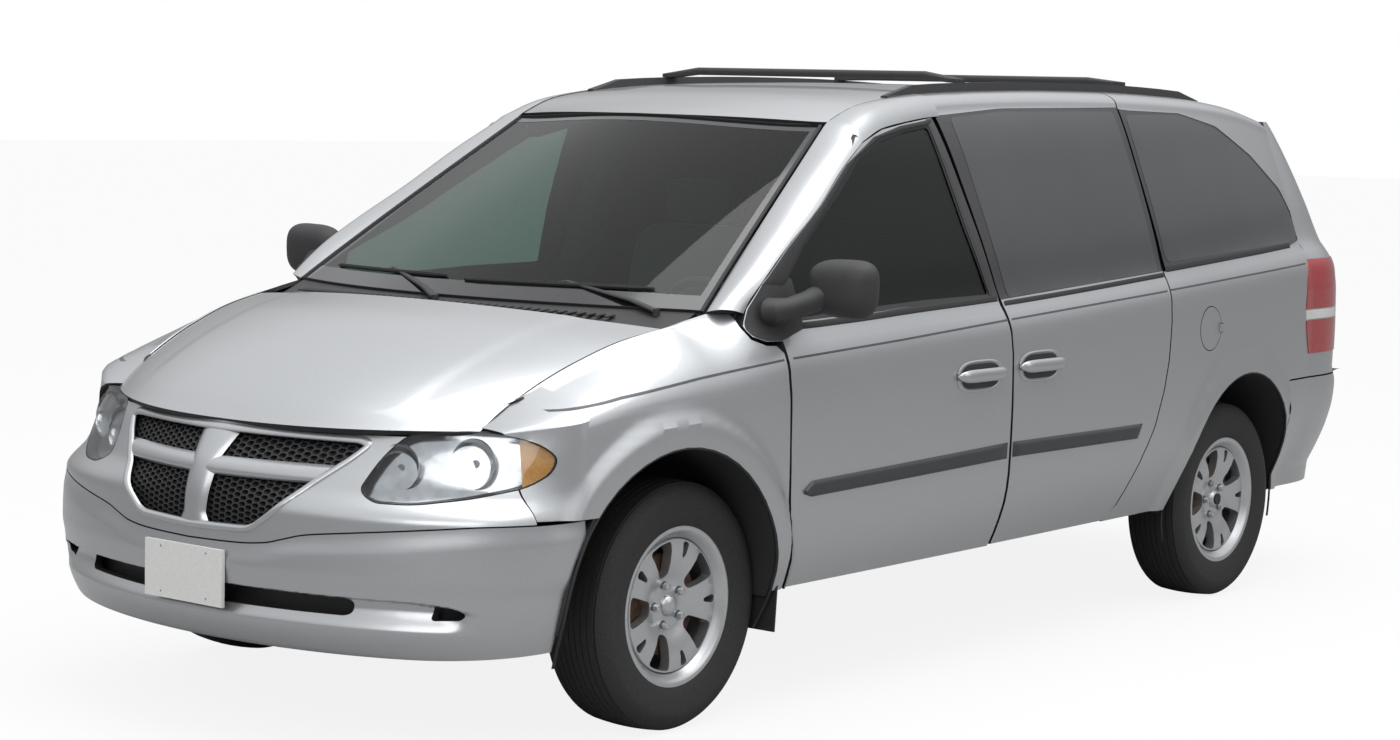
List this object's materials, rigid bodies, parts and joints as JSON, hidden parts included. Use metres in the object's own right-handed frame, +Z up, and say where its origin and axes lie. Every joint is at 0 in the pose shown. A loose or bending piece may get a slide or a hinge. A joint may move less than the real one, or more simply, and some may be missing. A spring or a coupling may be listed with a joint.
{
  "type": "minivan",
  "caption": "Long-bodied family minivan with hinged front doors, sliding rear doors, a liftgate and a roof rack, on road wheels.",
  "frame": {"origin": "on the ground midway along the vehicle, on its centre plane", "axes": "+X forward, +Y to the vehicle's left, +Z up"},
  "size_m": [5.0926, 2.3448, 1.816],
  "materials": {
    "body_paint": "silver metallic clear coat",
    "structure": "black underbody coating",
    "black_plastic": "grained black plastic",
    "dash_plastic": "grained grey plastic",
    "seat_fabric": "woven seat cloth",
    "clear_glass": "lightly tinted safety glass",
    "privacy_glass": "dark privacy glass",
    "lamp_clear": "clear moulded lens",
    "lamp_red": "red moulded lens",
    "plate_white": "blank reflective plate",
    "cast_metal": "rough casting with light rust",
    "steel": "dull steel tube",
    "rim_alloy": "lacquered cast alloy",
    "tyre": "tyre rubber"
  },
  "bodies": {
    "body": {"floor_pan": "structure", "side_frame": "structure", "roof_panel": "body_paint", "quarter_panels": "body_paint", "fenders": "body_paint", "front_fascia": "body_paint", "grille": "black_plastic", "front_bumper": "body_paint", "rear_bumper": "body_paint", "front_plate": "plate_white", "windshield": "clear_glass", "cowl_panel": "black_plastic", "dashboard": "dash_plastic", "seats": "seat_fabric", "headlamps": "lamp_clear", "tail_lamps": "lamp_red", "roof_rack": "black_plastic", "left_sliding_door": "body_paint", "right_sliding_door": "body_paint", "rear_side_glass": "privacy_glass", "wheel_liners": "black_plastic", "engine": "cast_metal", "fuel_tank": "black_plastic", "exhaust": "steel", "front_suspension": "structure", "rear_axle": "structure"},
    "hood": {"hood": "body_paint"},
    "left_door": {"left_front_door": "body_paint", "left_door_glass": "clear_glass", "left_mirror": "black_plastic"},
    "right_door": {"right_front_door": "body_paint", "right_door_glass": "clear_glass", "right_mirror": "black_plastic"},
    "liftgate": {"liftgate": "body_paint", "liftgate_glass": "privacy_glass"},
    "fuel_flap": {"fuel_door": "body_paint"},
    "steering_wheel": {"steering_wheel": "dash_plastic"},
    "left_knuckle": {"left_knuckle": "cast_metal"},
    "right_knuckle": {"right_knuckle": "cast_metal"},
    "front_left_wheel": {"front_left_tyre": "tyre", "front_left_rim": "rim_alloy"},
    "front_right_wheel": {"front_right_tyre": "tyre", "front_right_rim": "rim_alloy"},
    "rear_left_wheel": {"rear_left_tyre": "tyre", "rear_left_rim": "rim_alloy"},
    "rear_right_wheel": {"rear_right_tyre": "tyre", "rear_right_rim": "rim_alloy"}
  },
  "joints": [
    {"name": "left_steer", "type": "hinge", "parent": "body", "child": "left_knuckle", "pos_m": [1.5765, 0.735, 0.343], "axis": [0, 0, 1], "range_deg": [-33, 33]},
    {"name": "right_steer", "type": "hinge", "parent": "body", "child": "right_knuckle", "pos_m": [1.5765, -0.735, 0.343], "axis": [0, 0, 1], "range_deg": [-33, 33]},
    {"name": "steering_wheel_turn", "type": "hinge", "parent": "body", "child": "steering_wheel", "pos_m": [0.7765, 0.37, 1.01], "axis": [-0.8829, 0, 0.4695], "range_deg": [-528, 528]},
    {"name": "front_left_roll", "type": "hinge", "parent": "left_knuckle", "child": "front_left_wheel", "pos_m": [1.5765, 0.8, 0.343], "axis": [0, 1, 0], "continuous": true},
    {"name": "front_right_roll", "type": "hinge", "parent": "right_knuckle", "child": "front_right_wheel", "pos_m": [1.5765, -0.8, 0.343], "axis": [0, 1, 0], "continuous": true},
    {"name": "rear_left_roll", "type": "hinge", "parent": "body", "child": "rear_left_wheel", "pos_m": [-1.4535, 0.813, 0.343], "axis": [0, 1, 0], "continuous": true},
    {"name": "rear_right_roll", "type": "hinge", "parent": "body", "child": "rear_right_wheel", "pos_m": [-1.4535, -0.813, 0.343], "axis": [0, 1, 0], "continuous": true},
    {"name": "left_door_swing", "type": "hinge", "parent": "body", "child": "left_door", "pos_m": [1.1365, 0.966, 0.71], "axis": [0, 0, -1], "range_deg": [0, 65]},
    {"name": "right_door_swing", "type": "hinge", "parent": "body", "child": "right_door", "pos_m": [1.1365, -0.966, 0.71], "axis": [0, 0, 1], "range_deg": [0, 65]},
    {"name": "hood_lift", "type": "hinge", "parent": "body", "child": "hood", "pos_m": [1.5465, 0, 1.062], "axis": [0, -1, 0], "range_deg": [0, 45]},
    {"name": "liftgate_lift", "type": "hinge", "parent": "body", "child": "liftgate", "pos_m": [-2.0235, 0, 1.717], "axis": [0, 1, 0], "range_deg": [0, 80]},
    {"name": "fuel_flap_swing", "type": "hinge", "parent": "body", "child": "fuel_flap", "pos_m": [-1.2315, 0.985, 0.97], "axis": [0, 0, 1], "range_deg": [0, 80]}
  ],
  "couplings": [
    {"joint": "right_steer", "follows": "left_steer", "ratio": 1},
    {"joint": "steering_wheel_turn", "follows": "left_steer", "ratio": 16}
  ]
}
